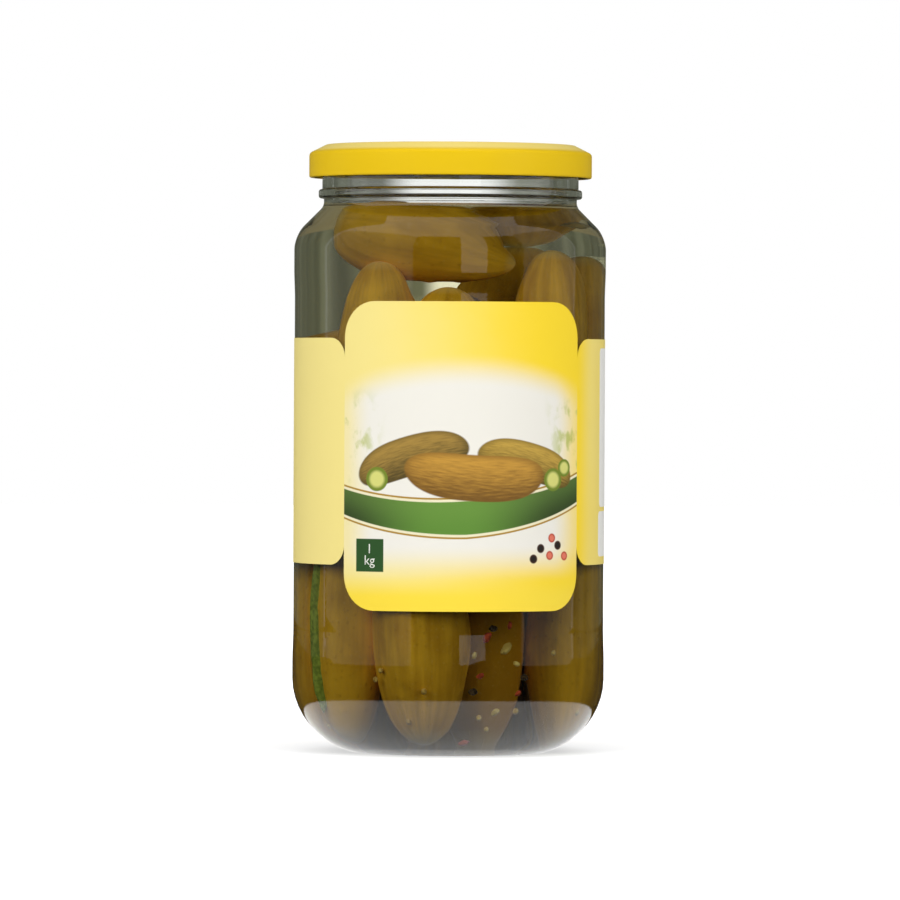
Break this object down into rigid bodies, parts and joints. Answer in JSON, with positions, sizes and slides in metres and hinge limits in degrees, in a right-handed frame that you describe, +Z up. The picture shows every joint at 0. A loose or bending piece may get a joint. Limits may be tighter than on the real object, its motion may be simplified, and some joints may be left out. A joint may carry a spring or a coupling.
{
  "type": "pickle jar",
  "caption": "Round glass jar of pickled cucumbers in brine, with a shoulder and beaded neck, a yellow twist-off tin lid and a wrap-round paper label.",
  "frame": {"origin": "centre of the ring the jar stands on", "axes": "+Z up along the jar's axis; the middle of the label's front panel faces -Y"},
  "size_m": [0.0944, 0.0944, 0.1836],
  "materials": {
    "jar_glass": "clear flint glass, smooth and glossy",
    "brine": "clear pickling brine packed with olive-coloured cucumbers",
    "lid_tinplate": "yellow lacquered tinplate, semi-gloss",
    "seal": "pale sealing compound",
    "label_paper": "coated paper, yellow and cream print, slight sheen"
  },
  "bodies": {
    "root": {"jar": "jar_glass", "brine": "brine", "lid": "lid_tinplate", "seal": "seal", "label": "label_paper"}
  },
  "joints": []
}
